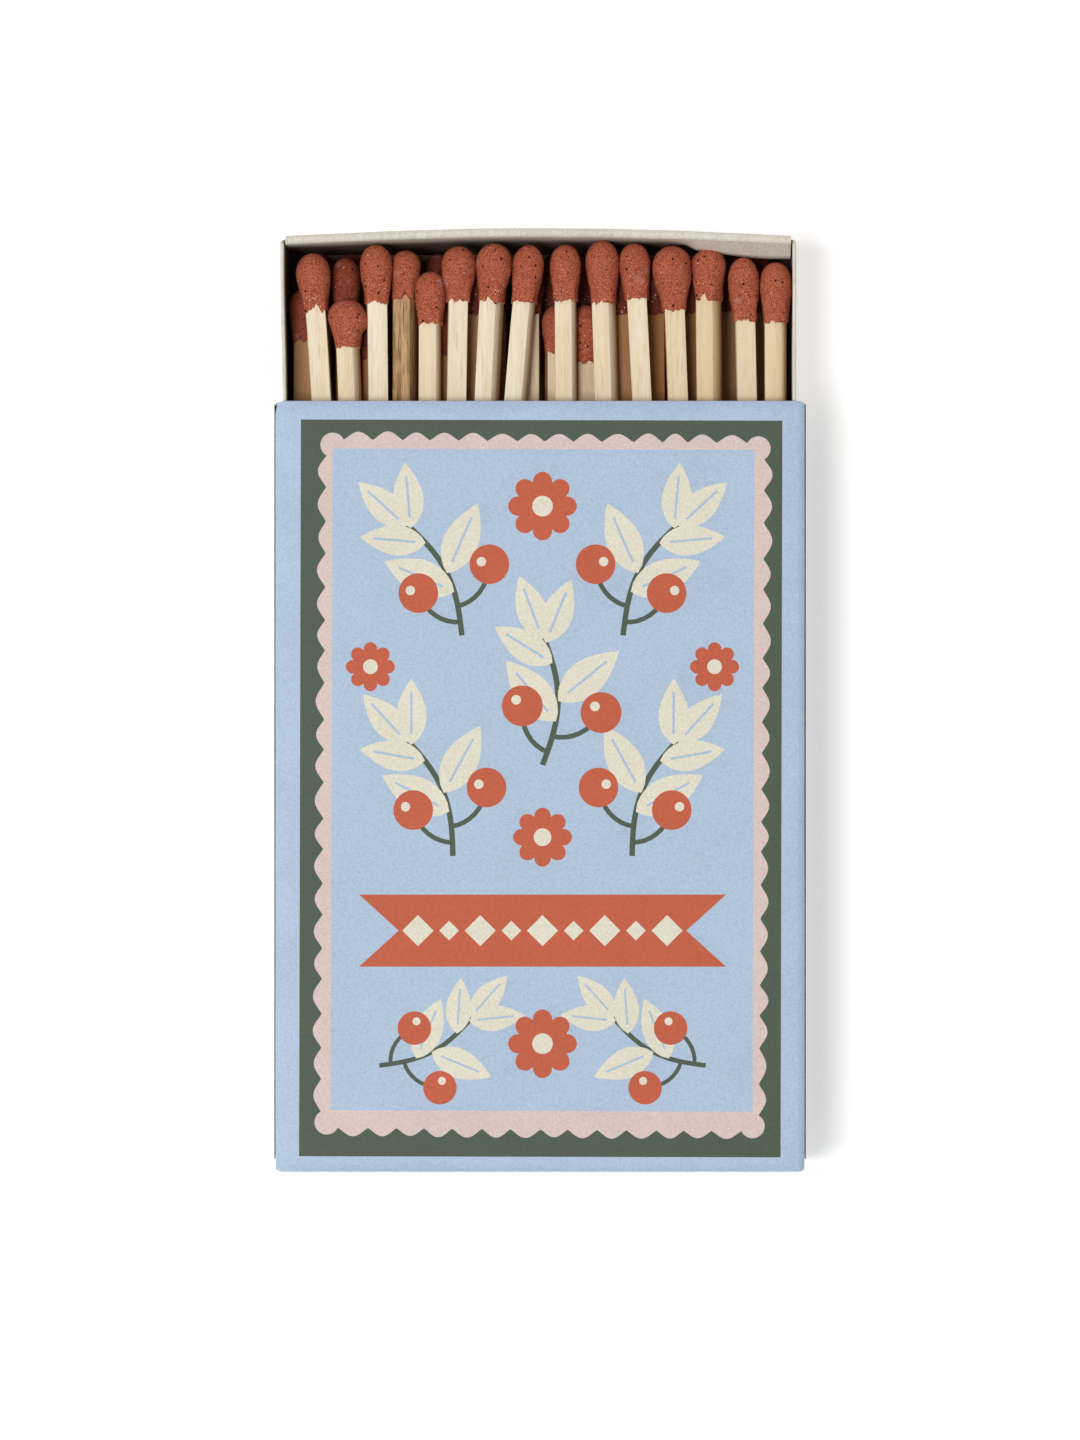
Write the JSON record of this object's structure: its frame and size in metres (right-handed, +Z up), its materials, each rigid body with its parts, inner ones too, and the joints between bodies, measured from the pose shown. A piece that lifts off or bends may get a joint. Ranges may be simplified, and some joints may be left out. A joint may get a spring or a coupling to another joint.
{
  "type": "matchbox",
  "caption": "Slide-out card box of long wooden safety matches: printed sleeve with a striking strip on each side, and a folded tray pulled part way out.",
  "frame": {"origin": "centre of the sleeve's underside", "axes": "+Y the way the tray is pulled out, +Z up through the label, +X to the right of the label"},
  "size_m": [0.0654, 0.1152, 0.0201],
  "materials": {
    "printed_card": "matt print",
    "striker_grit": "gritty",
    "tray_board": "uncoated",
    "aspen": "sawn",
    "head_composition": "matt"
  },
  "bodies": {
    "sleeve": {"sleeve": "printed_card", "striker_left": "striker_grit", "striker_right": "striker_grit"},
    "tray": {"tray": "tray_board", "match_row_floor": "aspen", "match_row_middle": "aspen", "match_row_upper": "aspen", "match_01_splint": "aspen", "match_01_head": "head_composition", "match_02_splint": "aspen", "match_02_head": "head_composition", "match_03_splint": "aspen", "match_03_head": "head_composition", "match_04_splint": "aspen", "match_04_head": "head_composition", "match_05_splint": "aspen", "match_05_head": "head_composition", "match_06_splint": "aspen", "match_06_head": "head_composition", "match_07_splint": "aspen", "match_07_head": "head_composition", "match_08_splint": "aspen", "match_08_head": "head_composition", "match_09_splint": "aspen", "match_09_head": "head_composition", "match_10_splint": "aspen", "match_10_head": "head_composition", "match_11_splint": "aspen", "match_11_head": "head_composition", "match_12_splint": "aspen", "match_12_head": "head_composition", "match_13_splint": "aspen", "match_13_head": "head_composition", "match_14_splint": "aspen", "match_14_head": "head_composition", "match_15_splint": "aspen", "match_15_head": "head_composition", "match_16_splint": "aspen", "match_16_head": "head_composition", "match_17_splint": "aspen", "match_17_head": "head_composition", "match_18_splint": "aspen", "match_18_head": "head_composition", "match_19_splint": "aspen", "match_19_head": "head_composition", "match_20_splint": "aspen", "match_20_head": "head_composition", "match_21_splint": "aspen", "match_21_head": "head_composition", "match_22_splint": "aspen", "match_22_head": "head_composition", "match_23_splint": "aspen", "match_23_head": "head_composition", "match_24_splint": "aspen", "match_24_head": "head_composition", "match_25_splint": "aspen", "match_25_head": "head_composition", "match_26_splint": "aspen", "match_26_head": "head_composition"}
  },
  "joints": [
    {"name": "tray_slide", "type": "slide", "parent": "sleeve", "child": "tray", "axis": [0, 1, 0], "range_m": [-0.098, 0.058]}
  ]
}
